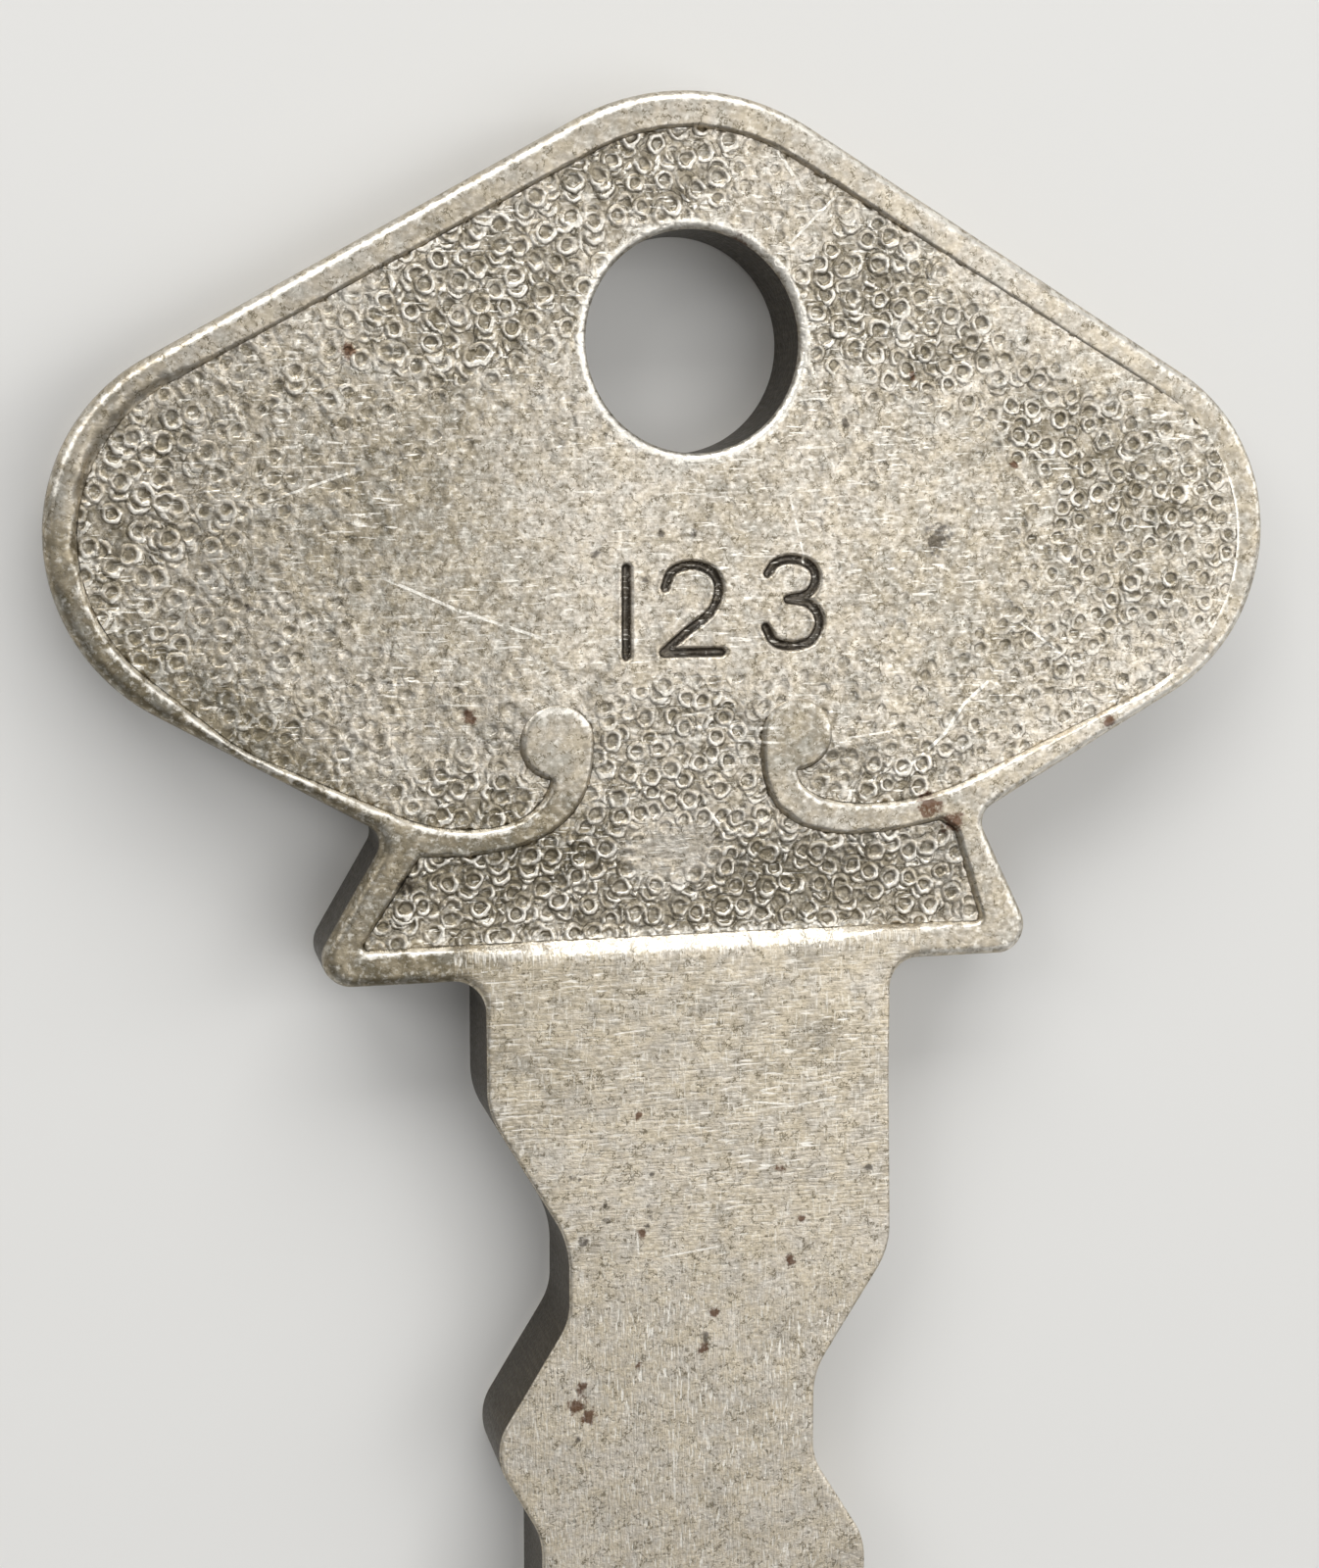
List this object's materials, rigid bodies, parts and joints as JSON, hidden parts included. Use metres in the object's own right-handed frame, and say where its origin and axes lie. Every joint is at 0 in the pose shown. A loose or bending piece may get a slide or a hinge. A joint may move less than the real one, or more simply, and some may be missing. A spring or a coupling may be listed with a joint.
{
  "type": "flat ignition key",
  "caption": "Flat metal key with a rounded diamond bow, raised rim ending in scrolls, ring-punched ground, ring hole, flared stop shoulder and a blade cut on both edges.",
  "frame": {"origin": "centre of the ring hole, at half the key's thickness", "axes": "+Z out of the numbered face along the ring hole, +Y from the blade towards the top of the bow, +X to the right as the numbered face is read"},
  "size_m": [0.0254, 0.0413, 0.0022],
  "materials": {
    "nickel_silver_rim": "nickel silver, worn satin on the raised rim and scrolls",
    "nickel_silver_floor": "nickel silver, ring-punched ground with brown-grey tarnish in the recesses",
    "nickel_silver_blade": "nickel silver, milled and brushed, with fine scratches"
  },
  "bodies": {
    "root": {"bow_web": "nickel_silver_floor", "bow_rim": "nickel_silver_rim", "left_scroll": "nickel_silver_rim", "right_scroll": "nickel_silver_rim", "shoulder_web": "nickel_silver_floor", "left_stop": "nickel_silver_rim", "right_stop": "nickel_silver_rim", "blade_root": "nickel_silver_blade", "blade_cuts": "nickel_silver_blade", "blade_tip": "nickel_silver_blade"}
  },
  "joints": []
}
